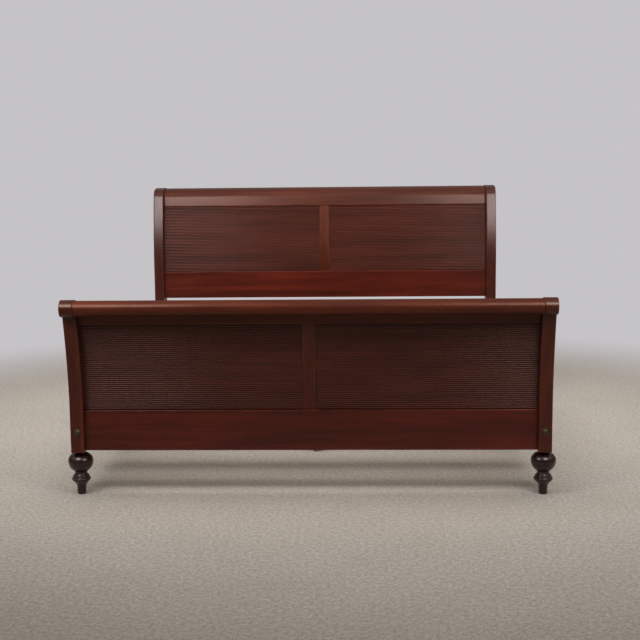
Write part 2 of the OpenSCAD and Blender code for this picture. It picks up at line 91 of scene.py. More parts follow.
POST_EASE = 0.0020
OUTLINE_EASE = 0.0020
RAIL_EASE = 0.0025
STILE_EASE = 0.003
CAP_SEAM = 0.0012                       # rounded ends, which show as a seam against the post
WEAR_REACH = 0.007                      # how far rubbing fades out from an edge


class Board:
    """The footboard or the headboard: its place, heights, reeds, curves of the top, and woods."""

    def __init__(self, prefix, end, corner, reeds, reeded_side, post_fullness, crest_fullness,
                 post_wood, crest_wood, stile_wood):
        self.prefix, self.end, self.corner = prefix, end, corner
        self.reeds, self.reeded_side = reeds, reeded_side
        self.post_fullness, self.crest_fullness = post_fullness, crest_fullness
        self.post_wood, self.crest_wood, self.stile_wood = post_wood, crest_wood, stile_wood
        self.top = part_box(f"{prefix}_post_left")[1].z
        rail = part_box(f"{prefix}_bottom_rail")
        self.rail_bottom, self.rail_top = rail[0].z, rail[1].z
        self.crest_bottom = self.top - CREST_H

    def point(self, x, out, z):
        """A point of the board, from its place across the bed, outwards, and up."""
        return (x, self.end * (INNER_Y + out), z)


# ---------------------------------------------------------------- outlines
def sweep(depth):
    span = CURVE_D - NECK_D
    return max(0.0, (CURVE_D - depth) / span) ** CURVE_POWER


def bed_side(depth):
    return LEAN_IN * sweep(depth)


def outer_side(depth):
    return POST_D + LEAN_OUT * sweep(depth)


def middle(depth):
    return (bed_side(depth) + outer_side(depth)) / 2


def slope_angle(lean):
    return math.atan(CURVE_POWER * lean / (CURVE_D - NECK_D))


def arc(centre, radius, start, end, steps):
    """Points on an arc, with its angles in radians."""
    angles = [start + (end - start) * i / steps for i in range(steps + 1)]
    return [(centre[0] + radius * math.cos(a), centre[1] + radius * math.sin(a)) for a in angles]


def scroll_and_cove(point, lean, cove_r, scroll, scroll_r, steps=36):
    """From the top of a scroll, round it, and through the cove that ends at the point."""
    p, s = Vector(point), Vector(scroll)
    along, across = Vector((math.sin(lean), math.cos(lean))), Vector((math.cos(lean), -math.sin(lean)))
    q = p + cove_r * across - s
    down = q.dot(along) + math.sqrt(q.dot(along) ** 2 - q.dot(q) + (scroll_r + cove_r) ** 2)
    cove = p + cove_r * across - down * along
    to_scroll = s - cove
    a = math.atan2(to_scroll.y, to_scroll.x)
    return arc(scroll, scroll_r, math.pi / 2, a - math.pi, steps) + arc(cove, cove_r, a, math.pi - lean, 12)


def top_line(start, lean, end, fullness, steps=36):
    """The bed side of a top: straight up to the shoulder, then an oval curve that ends level.

    A fullness of 2 makes the curve part of an ellipse, and more makes it squarer.
    """
    slant = math.tan(lean)
    shoulder = start[0] - (start[1] + SHOULDER_D) * slant
    points = [start]
    for i in range(steps + 1):
        a = math.pi / 2 * i / steps
        u, v = abs(math.cos(a)) ** (2 / fullness), math.sin(a) ** (2 / fullness)
        out = (end[0] - shoulder) * (1 - u) + SHOULDER_D * slant * v * math.cos(a)
        points.append((shoulder + out, -SHOULDER_D + (end[1] + SHOULDER_D) * v))
    return points


def lifted(points, z):
    return [(o, h + z) for o, h in points]


def post_outline(board, steps=30):
    crown = top_line((bed_side(NECK_D), -NECK_D), slope_angle(LEAN_IN), (SCROLL_O, 0.0),
                     board.post_fullness)
    crown += scroll_and_cove((outer_side(NECK_D), -NECK_D), slope_angle(LEAN_OUT), POST_COVE_R,
                             (SCROLL_O, -SCROLL_R), SCROLL_R)[1:]
    depths = [CURVE_D - (CURVE_D - NECK_D) * i / steps for i in range(steps)]
    rise = [(bed_side(d), board.top - d) for d in depths]
    fall = [(outer_side(d), board.top - d) for d in reversed(depths)]
    return [(0.0, POST_BOTTOM)] + rise + lifted(crown, board.top) + fall + [(POST_D, POST_BOTTOM)]


def crest_outline(board):
    inner = middle(CREST_H) - CREST_FRONT
    crown = top_line((inner, -CREST_H), CREST_LEAN, (SCROLL_O, -CREST_STEP), board.crest_fullness)
    crown += scroll_and_cove((inner + CREST_T, -CREST_H), slope_angle(LEAN_OUT), CREST_COVE_R,
                             (SCROLL_O, -SCROLL_R), SCROLL_R - CREST_STEP)[1:]
    return lifted(crown + [(inner + CREST_T, -CREST_H)], board.top)


def without_repeats(points, closeness=1e-5):
    kept = []
    for p in points:
        if not kept or (Vector(p) - Vector(kept[-1])).length > closeness:
            kept.append(p)
    if (Vector(kept[0]) - Vector(kept[-1])).length < closeness:
        kept.pop()
    return kept


def eased(points, radius, steps=4, least=math.radians(40)):
    """A closed outline with its sharp corners rounded, as (outwards, height, wear) points."""
    points = without_repeats(points)
    made = []
    for i, p in enumerate(points):
        here = Vector(p)
        back = Vector(points[i - 1]) - here
        on = Vector(points[(i + 1) % len(points)]) - here
        turn = math.pi - back.angle(on)
        if turn < least:
            made.append((p[0], p[1], 0.0))
            continue
        back_length, on_length = back.length, on.length
        back.normalize()
        on.normalize()
        cut = min(radius * math.tan(turn / 2), back_length / 3, on_length / 3)
        if back_length > 3 * (cut + WEAR_REACH):
            made.append((*(here + back * (cut + WEAR_REACH)), 0.0))
        centre_way = (back + on).normalized()
        corner_r = cut / math.tan(turn / 2)
        centre = here + centre_way * (corner_r / math.cos(turn / 2))
        start, end = here + back * cut - centre, here + on * cut - centre
        for k in range(steps + 1):
            f = k / steps
            spoke = (start * (1 - f) + end * f).normalized() * corner_r
            made.append((*(centre + spoke), 1.0))
        if on_length > 3 * (cut + WEAR_REACH):
            made.append((*(here + on * (cut + WEAR_REACH)), 0.0))
    return made


def inset(outline, amount):
    """The outline moved inwards; its points run clockwise with outwards to the right."""
    moved = []
    for i, p in enumerate(outline):
        before, here, after = (Vector(outline[j][:2]) for j in (i - 1, i, (i + 1) % len(outline)))
        a, b = (here - before).normalized(), (after - here).normalized()
        normal = Vector(((a + b).y, -(a + b).x)).normalized()
        moved.append((here.x + normal.x * amount, here.y + normal.y * amount, p[2]))
    return moved


# ---------------------------------------------------------------- meshes
def make_mesh(name, points, faces, wear=None, groove=None, sharp=math.radians(32)):
    """A mesh with smooth shading, and the wear and the painted groove shade that its material reads."""
    mesh = bpy.data.meshes.new(name)
    mesh.from_pydata(points, [], faces)
    for key, values in (("wear", wear), ("groove", groove)):
        layer = mesh.attributes.new(key, "FLOAT", "POINT")
        layer.data.foreach_set("value", values or [0.0] * len(points))
    whole = bmesh.new()
    whole.from_mesh(mesh)
    bmesh.ops.remove_doubles(whole, verts=whole.verts, dist=1e-7)
    bmesh.ops.recalc_face_normals(whole, faces=whole.faces)
    whole.to_mesh(mesh)
    whole.free()
    finish_shading(mesh, sharp)
    return mesh


def finish_shading(mesh, sharp):
    mesh.polygons.foreach_set("use_smooth", [True] * len(mesh.polygons))
    mesh.set_sharp_from_angle(angle=sharp)


def loft(rings):
    """Points and faces of a closed solid through rings of (point, wear, painted groove shade)."""
    count = len(rings[0])
    points = [v[0] for ring in rings for v in ring]
    wear = [v[1] for ring in rings for v in ring]
    groove = [v[2] for ring in rings for v in ring]
    faces = []
    for r in range(len(rings) - 1):
        for i in range(count):
            j = (i + 1) % count
            faces.append((r * count + i, r * count + j, (r + 1) * count + j, (r + 1) * count + i))
    faces.append(tuple(range(count)))
    faces.append(tuple(range((len(rings) - 1) * count, len(rings) * count)))
    return points, faces, wear, groove


def end_stations(half, ease, steps=4):
    """(place, inset, wear) from one end of a bar to the other, with both ends eased."""
    one_end = [(half - ease * (1 - math.sin(a)), ease * (1 - math.cos(a)), 1.0)
               for a in (math.pi / 2 * (1 - k / steps) for k in range(steps + 1))]
    one_end.append((half - ease - WEAR_REACH, 0.0, 0.0))
    return [(-x, i, w) for x, i, w in one_end] + [(x, i, w) for x, i, w in reversed(one_end)]


def extrude_board(board, outline, centre, half, ease):
    """The rings of an outline drawn on the board and carried across the bed."""
    rings = []
    for x, amount, wear in end_stations(half, ease):
        ring = inset(outline, amount) if amount > 1e-9 else outline
        rings.append([(board.point(centre + x, o, z), max(wear, w), 0.0) for o, z, w in ring])
    return rings


def lathe(profile, turns=96, place=Matrix.Identity(4)):
    """A solid turned about +Z from (radius, height, wear) points that start and end on the axis."""
    points, wear, faces, index = [], [], [], []
    for radius, height, worn in profile:
        on_axis = radius < 1e-7
        row = []
        for k in range(1 if on_axis else turns):
            a = 2 * math.pi * k / turns
            row.append(len(points))
            points.append(tuple(place @ Vector((radius * math.cos(a), radius * math.sin(a), height))))
            wear.append(worn)
        index.append(row)
    for low, high in zip(index, index[1:]):
        for k in range(turns):
            n = (k + 1) % turns
            if len(low) == 1 and len(high) == 1:
                break
            if len(low) == 1:
                faces.append((low[0], high[n], high[k]))
            elif len(high) == 1:
                faces.append((low[k], low[n], high[0]))
            else:
                faces.append((low[k], low[n], high[n], high[k]))
    return points, faces, wear


def add_piece(name, mesh, node, material, body="root"):
    piece = bpy.data.objects.new(name, mesh)
    bpy.context.scene.collection.objects.link(piece)
    mesh.materials.append(material)
    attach(piece, body)
    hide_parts(node)
    return piece


def boolean(piece, cutters, operation):
    """Cuts the cutters from a piece, or joins them to it, and keeps the result as its mesh."""
    for cutter in cutters:
        modifier = piece.modifiers.new("boolean", "BOOLEAN")
        modifier.operation, modifier.solver, modifier.object = operation, "EXACT", cutter
    bpy.context.view_layer.update()
    solid = bpy.data.meshes.new_from_object(piece.evaluated_get(bpy.context.evaluated_depsgraph_get()))
    piece.modifiers.clear()
    solid.name, piece.data = piece.data.name, solid
    finish_shading(solid, math.radians(32))
    for cutter in cutters:
        bpy.data.objects.remove(cutter)


# ---------------------------------------------------------------- materials
def rgb(red, green, blue):
    """A colour given as sRGB from 0 to 255, in the linear values that shaders use."""
    def linear(c):
        c /= 255
        return c / 12.92 if c <= 0.04045 else ((c + 0.055) / 1.055) ** 2.4
    return (linear(red), linear(green), linear(blue), 1.0)


class Nodes:
    """A short way to add nodes to a material or a world and to join them."""

    def __init__(self, tree):
        self.tree = tree
        tree.nodes.clear()

    def add(self, kind, inputs=None, **settings):
        node = self.tree.nodes.new(kind)
        for key, value in settings.items():
            setattr(node, key, value)
        for key, value in (inputs or {}).items():
            if isinstance(value, bpy.types.NodeSocket):
                self.tree.links.new(value, node.inputs[key])
            else:
                node.inputs[key].default_value = value
        return node

    def math(self, operation, a, b=0.0, clamp=False):
        return self.add("ShaderNodeMath", {0: a, 1: b}, operation=operation, use_clamp=clamp).outputs[0]

    def remap(self, value, low, high, to_low=0.0, to_high=1.0, smooth=False):
        kind = "SMOOTHSTEP" if smooth else "LINEAR"
        return self.add("ShaderNodeMapRange", {0: value, 1: low, 2: high, 3: to_low, 4: to_high},
                        interpolation_type=kind).outputs[0]

    def mix(self, factor, a, b, blend="MIX"):
        node = self.add("ShaderNodeMix", {0: factor, 6: a, 7: b}, data_type="RGBA", blend_type=blend)
        return node.outputs[2]

    def noise(self, place, scale, detail=4.0, roughness=0.55, distortion=0.0):
        return self.add("ShaderNodeTexNoise", {"Vector": place, "Scale": scale, "Detail": detail,
                                               "Roughness": roughness, "Distortion": distortion}
                        ).outputs["Fac"]


AXES = {"X": 0, "Y": 1, "Z": 2}


def stretched(nodes, place, axis, along, across, seed):
    """Coordinates that run slowly along the grain and fast across it."""
    scale = [across] * 3
    scale[AXES[axis]] = along
    offset = (seed * 3.17, seed * 5.71, seed * 2.39)
    return nodes.add("ShaderNodeMapping", {"Vector": place, "Location": offset, "Scale": scale}
                     ).outputs[0]


def wood(name, axis, seed, dark, mid, light, worn, roughness=0.36, coat=0.90, coat_roughness=0.27,
         specular=0.15, streak=0.45, pore_depth=0.4, groove_dark=0.30, blotch=0.22, bump=0.25,
         rub=0.35, ripple=0.10, tint=(1.0, 1.0, 1.0, 1.0), coat_ior=1.5):
    """Finished wood: figure, fine streaks, pores, uneven stain, painted shade in reed grooves, rubbed edges
    and a satin coat.
    """
    material = bpy.data.materials.new(name)
    material.use_nodes = True
    n = Nodes(material.node_tree)
    place = n.add("ShaderNodeTexCoord").outputs["Object"]
    waver = n.noise(stretched(n, place, axis, 1.1, 5.0, seed + 7), 1.0, 2.0)
    shift = n.add("ShaderNodeCombineXYZ", {i: n.math("MULTIPLY", waver, 0.02) for i in range(3)})
    grain_place = n.add("ShaderNodeVectorMath", {0: place, 1: shift.outputs[0]},
                        operation="ADD").outputs[0]
    figure = n.noise(stretched(n, grain_place, axis, 1.3, 19.0, seed), 1.0, 5.0, 0.6, 0.6)
    streaks = n.noise(stretched(n, grain_place, axis, 4.0, 210.0, seed + 1), 1.0, 3.0, 0.65)
    pores = n.noise(stretched(n, grain_place, axis, 55.0, 1300.0, seed + 2), 1.0, 2.0, 0.5)
    stain = n.noise(stretched(n, place, axis, 1.6, 4.5, seed + 3), 1.0, 3.0, 0.5)
    ramp = n.add("ShaderNodeValToRGB", {0: figure})
    ramp.color_ramp.elements[0].position, ramp.color_ramp.elements[0].color = 0.30, dark
    ramp.color_ramp.elements[1].position, ramp.color_ramp.elements[1].color = 0.72, light
    ramp.color_ramp.elements.new(0.5).color = mid
    streaked = n.math("ADD", n.math("MULTIPLY", n.math("SUBTRACT", streaks, 0.5), streak), 1.0)
    pored = n.remap(pores, 0.30, 0.42, 1.0 - pore_depth, 1.0, True)
    stained = n.remap(stain, 0.3, 0.7, 1.0 - blotch, 1.0 + blotch * 0.6)
    factor = n.math("MULTIPLY", n.math("MULTIPLY", streaked, pored), stained)
    # Painted shade: the colour is darkened where the groove attribute marks the bottoms of the reeds.
    groove = n.add("ShaderNodeAttribute", attribute_name="groove").outputs["Fac"]
    factor = n.math("MULTIPLY", factor, n.remap(groove, 0.0, 1.0, 1.0, groove_dark))
    body = n.add("ShaderNodeVectorMath", {0: ramp.outputs[0], "Scale": factor}, operation="SCALE")
    wear = n.add("ShaderNodeAttribute", attribute_name="wear").outputs["Fac"]
    rubbed = n.remap(n.noise(stretched(n, place, axis, 14.0, 60.0, seed + 4), 1.0, 4.0, 0.65),
                     0.42, 0.68, 0.0, rub, True)
    rubbed = n.math("MULTIPLY", wear, rubbed)
    colour = n.mix(rubbed, body.outputs[0], worn)
    dullness = n.remap(stain, 0.25, 0.75, roughness - 0.05, roughness + 0.07)
    dullness = n.math("ADD", dullness, n.math("MULTIPLY", rubbed, 0.15))
    dullness = n.math("ADD", dullness, n.math("MULTIPLY", groove, 0.20), True)
    height = n.math("ADD", n.math("MULTIPLY", pored, 0.6), n.math("MULTIPLY", streaks, 0.5))
    relief = n.add("ShaderNodeBump", {"Strength": bump, "Distance": 0.0003, "Height": height})
    lacquer = n.add("ShaderNodeBump", {"Strength": ripple, "Distance": 0.0008,
                                       "Height": n.noise(place, 90.0, 2.0)})
    shader = n.add("ShaderNodeBsdfPrincipled", {
        "Base Color": colour, "Roughness": dullness, "Normal": relief.outputs[0],
        "Specular IOR Level": specular, "Specular Tint": tint, "Coat IOR": coat_ior,
        "Coat Weight": coat, "Coat Roughness": coat_roughness, "Coat Normal": lacquer.outputs[0]})
    n.add("ShaderNodeOutputMaterial", {"Surface": shader.outputs[0]})
    return material


def metal(name, base, tarnish, roughness, scale, cover=0.45, axis="Z"):
    """Metal with clouded tarnish, fine scratches and worn, brighter edges."""
    material = bpy.data.materials.new(name)
    material.use_nodes = True
    n = Nodes(material.node_tree)
    place = n.add("ShaderNodeTexCoord").outputs["Object"]
    cloud = n.noise(place, scale, 5.0, 0.6)
    scratch = n.noise(stretched(n, place, axis, 300.0, 4200.0, 1), 1.0, 2.0)
    old = n.remap(cloud, 0.5 - cover * 0.4, 0.5 + cover * 0.4, 1.0, 0.0, True)
    wear = n.add("ShaderNodeAttribute", attribute_name="wear").outputs["Fac"]
    old = n.math("MULTIPLY", old, n.math("SUBTRACT", 1.0, n.math("MULTIPLY", wear, 0.7)), True)
    shade = n.remap(scratch, 0.3, 0.7, 0.85, 1.1)
    colour = n.add("ShaderNodeVectorMath", {0: n.mix(old, base, tarnish), "Scale": shade},
                   operation="SCALE").outputs[0]
    dullness = n.math("ADD", n.math("MULTIPLY", old, 0.25), n.remap(scratch, 0.3, 0.7, roughness - 0.05,
                                                                    roughness + 0.08))
    relief = n.add("ShaderNodeBump", {"Strength": 0.2, "Distance": 0.0002,
                                      "Height": n.math("ADD", cloud, scratch)})
    shader = n.add("ShaderNodeBsdfPrincipled", {"Base Color": colour, "Roughness": dullness,
                                                "Metallic": 1.0, "Normal": relief.outputs[0]})
    n.add("ShaderNodeOutputMaterial", {"Surface": shader.outputs[0]})
    return material


# Woods from dark to light, and the colour of their rubbed edges
MAHOGANY = dict(dark=rgb(70, 32, 22), mid=rgb(84, 39, 27), light=rgb(98, 47, 32), worn=rgb(140, 78, 48))
RED = dict(dark=rgb(78, 30, 18), mid=rgb(94, 37, 23), light=rgb(110, 46, 29), worn=rgb(140, 74, 46))
REEDED = dict(dark=rgb(72, 34, 26), mid=rgb(84, 41, 31), light=rgb(96, 48, 37), worn=rgb(112, 62, 46))
WARM = dict(dark=rgb(80, 39, 26), mid=rgb(95, 46, 31), light=rgb(110, 55, 37), worn=rgb(140, 78, 48))
EBONISED = dict(dark=rgb(44, 24, 21), mid=rgb(56, 30, 26), light=rgb(70, 38, 32), worn=rgb(104, 58, 42))
POPLAR = dict(dark=rgb(176, 146, 104), mid=rgb(198, 170, 126), light=rgb(214, 190, 148),
              worn=rgb(222, 202, 168))
AMBER = (1.0, 0.64, 0.46, 1.0)          # the tint that old polish gives to its reflections


def mahogany(name, axis, seed):
    return wood(name, axis, seed, coat=0.75, specular=0.40, tint=AMBER, **MAHOGANY)


def warm_mahogany(name, axis, seed):
    """A lighter piece, whose amber polish tints the light it reflects."""
    return wood(name, axis, seed, coat=0.32, specular=0.42, tint=AMBER, **WARM)


def polished_mahogany(name, axis, seed):
    """The same wood under a glossier coat."""
    return wood(name, axis, seed, coat=1.0, coat_ior=1.57, coat_roughness=0.25, **MAHOGANY)


def red_mahogany(name, axis, seed):
    return wood(name, axis, seed, **RED)


def reeded_mahogany(name, axis, seed):
    # Its reed grooves get strong painted shade, darkened to 8% of their colour.
    return wood(name, axis, seed, roughness=0.38, specular=0.30, tint=AMBER, coat=0.70,
                coat_roughness=0.22, streak=0.15, pore_depth=0.10, groove_dark=0.08, blotch=0.15,
                bump=0.08, ripple=0.02, **REEDED)


def ebonised(name, axis, seed):
    return wood(name, axis, seed, roughness=0.30, specular=0.4, coat=1.0, coat_roughness=0.18,
                **EBONISED)


def poplar(name, axis, seed):
    return wood(name, axis, seed, roughness=0.62, coat=0.0, specular=0.3, streak=0.35,
                pore_depth=0.15, blotch=0.12, bump=0.4, **POPLAR)


BRASS = metal("aged_brass", rgb(138, 126, 98), rgb(58, 52, 42), 0.34, 220.0, 0.6)
STEEL = metal("zinc_steel", rgb(176, 178, 180), rgb(110, 110, 108), 0.32, 120.0, 0.35)


# ---------------------------------------------------------------- headboard and footboard
def make_post(board, side):
    outline = eased(post_outline(board), OUTLINE_EASE)
    rings = extrude_board(board, outline, side * POST_X, POST_W / 2, POST_EASE)
    name = f"{board.prefix}_post_{SIDES[side]}"
    piece = add_piece(f"{name}_scrolled_shape", make_mesh(name, *loft(rings)), name,
                      board.post_wood(f"{name}_wood", "Z", 11 + 3 * side + 5 * board.end))
    turn = Matrix.Translation(board.point(side * POST_X, POST_D - RECESS_L, BOLT_Z))
    turn = turn @ Matrix.Rotation(math.radians(-90 * board.end), 4, "X")
    drill = [(0, 0, 0), (RECESS_R, 0, 0), (RECESS_R, 2 * RECESS_L, 0), (0, 2 * RECESS_L, 0)]
    points, faces, wear = lathe(drill, 64, turn)
    cutter = bpy.data.objects.new("drill", make_mesh("drill", points, faces, wear))
    bpy.context.scene.collection.objects.link(cutter)
    boolean(piece, [cutter], "DIFFERENCE")


def make_crest_rail(board):
    outline = eased(crest_outline(board), RAIL_EASE)
    rings = extrude_board(board, outline, 0.0, FIELD_X, CAP_SEAM)
    name = f"{board.prefix}_crest_rail"
    add_piece(f"{name}_rolled_shape", make_mesh(name, *loft(rings)), name,
              board.crest_wood(f"{name}_wood", "X", 20 + board.end))


def make_bottom_rail(board):
    o0, o1 = POST_D / 2 - RAIL_T / 2, POST_D / 2 + RAIL_T / 2
    z0, z1 = board.rail_bottom, board.rail_top
    outline = eased([(o0, z0), (o0, z1), (o1, z1), (o1, z0)], RAIL_EASE)
    rings = extrude_board(board, outline, 0.0, FIELD_X, CAP_SEAM)
    name = f"{board.prefix}_bottom_rail"
    add_piece(f"{name}_eased_shape", make_mesh(name, *loft(rings)), name,
              red_mahogany(f"{name}_wood", "X", 30 + board.end))


def make_panel(board, side, facets=10, back_steps=24):
    """A board with horizontal reeds on the side that shows and a plain back."""
    low, high = board.rail_top, board.crest_bottom
    z0, z1 = low - PANEL_OVERLAP, high + PANEL_OVERLAP
    pitch = (high - low) / board.reeds
    front = []
    for i in range(board.reeds):
        for k in range(facets):
            a = math.pi * k / facets
            z = low + pitch * (i + (1 - math.cos(a)) / 2)
            crown = math.sin(a)
            out = PANEL_T / 2 - REED_H * (1 - crown)
            rubbed = REED_RUB * max(0.0, crown - REED_RUB_FROM) / (1 - REED_RUB_FROM)
            # Painted shade: each reed's groove is darkened in its colour, fading out towards the crown; the
            # panel's ends under the rails get it in full.
            shaded = max(0.0, 1 - crown / REED_SHADED_TO)
            front.append((middle(board.top - z) + board.reeded_side * out, z, rubbed, shaded))
    front.append((middle(board.top - high) + board.reeded_side * (PANEL_T / 2 - REED_H), high, 0.0, 1.0))
    back = [(middle(board.top - z) - board.reeded_side * PANEL_T / 2, z, 0.0, 0.0)
            for z in (z1 + (z0 - z1) * i / back_steps for i in range(back_steps + 1))]
    edge = PANEL_T / 2 - REED_H
    top_edge = [(middle(board.top - z1) + board.reeded_side * edge, z1, 0.0, 1.0)]
    low_edge = [(middle(board.top - z0) + board.reeded_side * edge, z0, 0.0, 1.0)]
    outline = low_edge + front + top_edge + back
    stations = [STILE_W / 2 - STILE_OVERLAP, FIELD_X + STILE_OVERLAP]
    rings = [[(board.point(side * x, o, z), w, g) for o, z, w, g in outline] for x in stations]
    name = f"{board.prefix}_panel_{SIDES[side]}"
    add_piece(f"{name}_reeded_shape", make_mesh(name, *loft(rings), sharp=math.radians(50)), name,
              reeded_mahogany(f"{name}_wood", "X", 40 + 3 * board.end + side))


def make_stile(board, steps=28):
    low, high = board.rail_top - STILE_OVERLAP, board.crest_bottom + STILE_OVERLAP
    w, t = STILE_W / 2, STILE_T / 2
    section = eased([(-w, -t), (-w, t), (w, t), (w, -t)], STILE_EASE)
    rings = []
    for i in range(steps + 1):
        z = low + (high - low) * i / steps
        rings.append([(board.point(x, middle(board.top - z) + o, z), worn, 0.0) for x, o, worn in section])
    name = f"{board.prefix}_center_stile"
    add_piece(f"{name}_curved_shape", make_mesh(name, *loft(rings)), name,
              board.stile_wood(f"{name}_wood", "Z", 50 + board.end))


# ---------------------------------------------------------------- turned feet
# Millimetres, as (radius, height) above the floor
BULB_R, BULB_Z, BULB_ABOVE, BULB_BELOW = 55, 150, 40, 54
BULB_FROM, BULB_TO = -60, 72            # degrees round the bulb
LIP_R, LIP_Z, LIP_ROUND = 37, 70, 4.5
BEAD_R, BEAD_Z, BEAD_ROUND = 29.5, 80, 6.8
ANKLE_R, ANKLE_Z, FLARE_R, FLARE_Z, FLARE_POWER = 20, 34, 37.9, 61, 1.7


def foot_profile():
    """The foot from the floor up to the post, as (radius, height, wear) in metres."""
    def mm(points, wear=0.0):
        return [(r / 1000, z / 1000, wear) for r, z in points]

    def flare(steps):
        return [(ANKLE_R + (FLARE_R - ANKLE_R) * (i / steps) ** FLARE_POWER,
                 ANKLE_Z + (FLARE_Z - ANKLE_Z) * i / steps) for i in range(steps + 1)]

    def ring(centre, radius, start, end, steps):
        return arc(centre, radius, math.radians(start), math.radians(end), steps)

    def bulb(steps):
        angles = [math.radians(BULB_FROM + (BULB_TO - BULB_FROM) * i / steps) for i in range(steps + 1)]
        return [(BULB_R * math.cos(a), BULB_Z + (BULB_BELOW if a < 0 else BULB_ABOVE) * math.sin(a))
                for a in angles]

    toe = mm([(0, 0), (15.0, 0)]) + mm([(16.6, 0.5), (17.6, 1.4), (18.3, 2.9), (18.5, 4.5)], 0.8)
    ankle = mm(flare(18)) + mm([(38.9, 63.4)])
    lip = mm(ring((LIP_R, LIP_Z), LIP_ROUND, -60, 58, 10), 0.7) + mm([(36.6, 76.0), (36.3, 76.6)])
    bead = mm(ring((BEAD_R, BEAD_Z), BEAD_ROUND, -28, 62, 10), 0.6)
    waist = mm([(31.0, 88.0), (28.8, 90.4), (27.2, 92.8), (26.5, 95.5)])
    neck = mm([(21, 189.6), (24, 191), (24, 194.8), (0, 194.8)])
    return toe + ankle + lip + bead + waist + mm(bulb(40)) + neck


def make_foot(board, side):
    place = Matrix.Translation(board.point(side * POST_X, POST_D / 2, 0.0))
    points, faces, wear = lathe(foot_profile(), 96, place)
    name = f"turned_foot_{board.corner}_{SIDES[side]}"
    add_piece(f"{name}_lathed_shape", make_mesh(name, points, faces, wear), name,
              ebonised(f"{name}_wood", "Z", 60 + 2 * side + board.end))


# ---------------------------------------------------------------- bolt covers
def make_cover(board, side):
    """A stamped dome with a beaded rim, a ring ear at its pivot, a neck, and a drop below."""
    def part(name, profile, x=0.0, y=0.0, turns=64):
        place = Matrix.Translation((x, y, 0))
        points, faces, wear = lathe([(r / 1000, z / 1000, w) for r, z, w in profile], turns, place)
        made = bpy.data.objects.new(name, make_mesh(name, points, faces, wear))
        bpy.context.scene.collection.objects.link(made)
        return made

    dome = [(12.4 * math.cos(a), 1.5 + 6.9 * math.sin(a), 0.5 if a > 1.2 else 0.1)
            for a in (math.radians(90 * i / 18) for i in range(1, 19))]
    dome[-1] = (0.0, 8.4, 0.6)
    hollow = [(11.0 * math.cos(a), 7.0 * math.sin(a), 0.0)
              for a in (math.radians(90 * i / 12) for i in range(13))]
    hollow[-1] = (0.0, 7.0, 0.0)
    rim = [(16.0, 0.0, 0.4), (16.0, 0.7, 0.8), (15.6, 1.15, 1.0), (14.9, 1.4, 1.0), (14.2, 1.15, 0.4),
           (13.9, 1.0, 0.0), (13.6, 1.15, 0.2), (13.2, 1.7, 0.7), (12.8, 1.8, 0.8), (12.45, 1.5, 0.2)]
    name = f"bolt_cover_{board.corner}_{SIDES[side]}"
    disc = part(name, list(reversed(hollow)) + rim + dome, turns=96)
    ear = part("ear", [(0, 0, 0), (4.6, 0, 0.2), (5.0, 0.4, 0.9), (5.0, 1.0, 0.9), (4.5, 1.4, 1.0),
                       (3.9, 1.4, 0.6), (3.6, 1.1, 0), (0, 1.1, 0)], 0.0, PIVOT_UP)
    drop = part("drop", [(0, 0, 0), (2.9, 0, 0.2), (3.2, 0.4, 0.8), (3.0, 1.1, 1.0), (2.3, 1.6, 0.8),
                         (1.2, 1.9, 0.6), (0, 2.0, 0.6)], 0.0, -0.0178)
    half, thick = 0.00375, 0.0012
    waist = [(-half, 0.0135), (-half * 0.72, 0.0162), (-half * 0.9, 0.0198), (half * 0.9, 0.0198),
             (half * 0.72, 0.0162), (half, 0.0135)]
    rings = [[((x, y, z), 0.4, 0.0) for x, y in waist] for z in (0.0, thick)]
    neck = bpy.data.objects.new("neck", make_mesh("neck", *loft(rings)))
    bpy.context.scene.collection.objects.link(neck)
    piece = add_piece(f"{name}_stamped_shape", disc.data, name, BRASS, name)
    bpy.data.objects.remove(disc)
    boolean(piece, [neck, ear, drop], "UNION")
    outward = Matrix.Translation(board.point(side * POST_X, POST_D + COVER_GAP, BOLT_Z))
    face = Matrix(((board.end * -1, 0, 0, 0), (0, 0, board.end, 0), (0, 1, 0, 0), (0, 0, 0, 1)))
    piece.data.transform(outward @ face)
    if face.determinant() < 0:
        piece.data.flip_normals()


# The reeds face the foot of the bed on both boards: outwards on one, inwards on the other.
FOOT = Board("foot", -1, "front", reeds=42, reeded_side=1, post_fullness=1.7, crest_fullness=1.7,
             post_wood=mahogany, crest_wood=warm_mahogany, stile_wood=mahogany)
HEAD = Board("head", 1, "rear", reeds=43, reeded_side=-1, post_fullness=3.0, crest_fullness=2.2,
             post_wood=polished_mahogany, crest_wood=mahogany, stile_wood=warm_mahogany)
for board in (FOOT, HEAD):
    make_crest_rail(board)
    make_bottom_rail(board)
    make_stile(board)
    for side in SIDES:
        make_post(board, side)
        make_panel(board, side)
        make_foot(board, side)
        make_cover(board, side)


# ---------------------------------------------------------------- bed frame, from the CAD nodes
def dress(node, material, ease=None):
    """Gives a CAD node its finish, and rounds its edges where an ease is given."""
    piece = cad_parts[node]
    piece.data.materials.clear()
    piece.data.materials.append(material)
    if ease:
        weld = piece.modifiers.new("weld", "WELD")
        weld.merge_threshold = 1e-5
        bevel = piece.modifiers.new("eased_edges", "BEVEL")
        bevel.width, bevel.segments, bevel.limit_method = ease, 2, "ANGLE"
        bevel.angle_limit = math.radians(50)


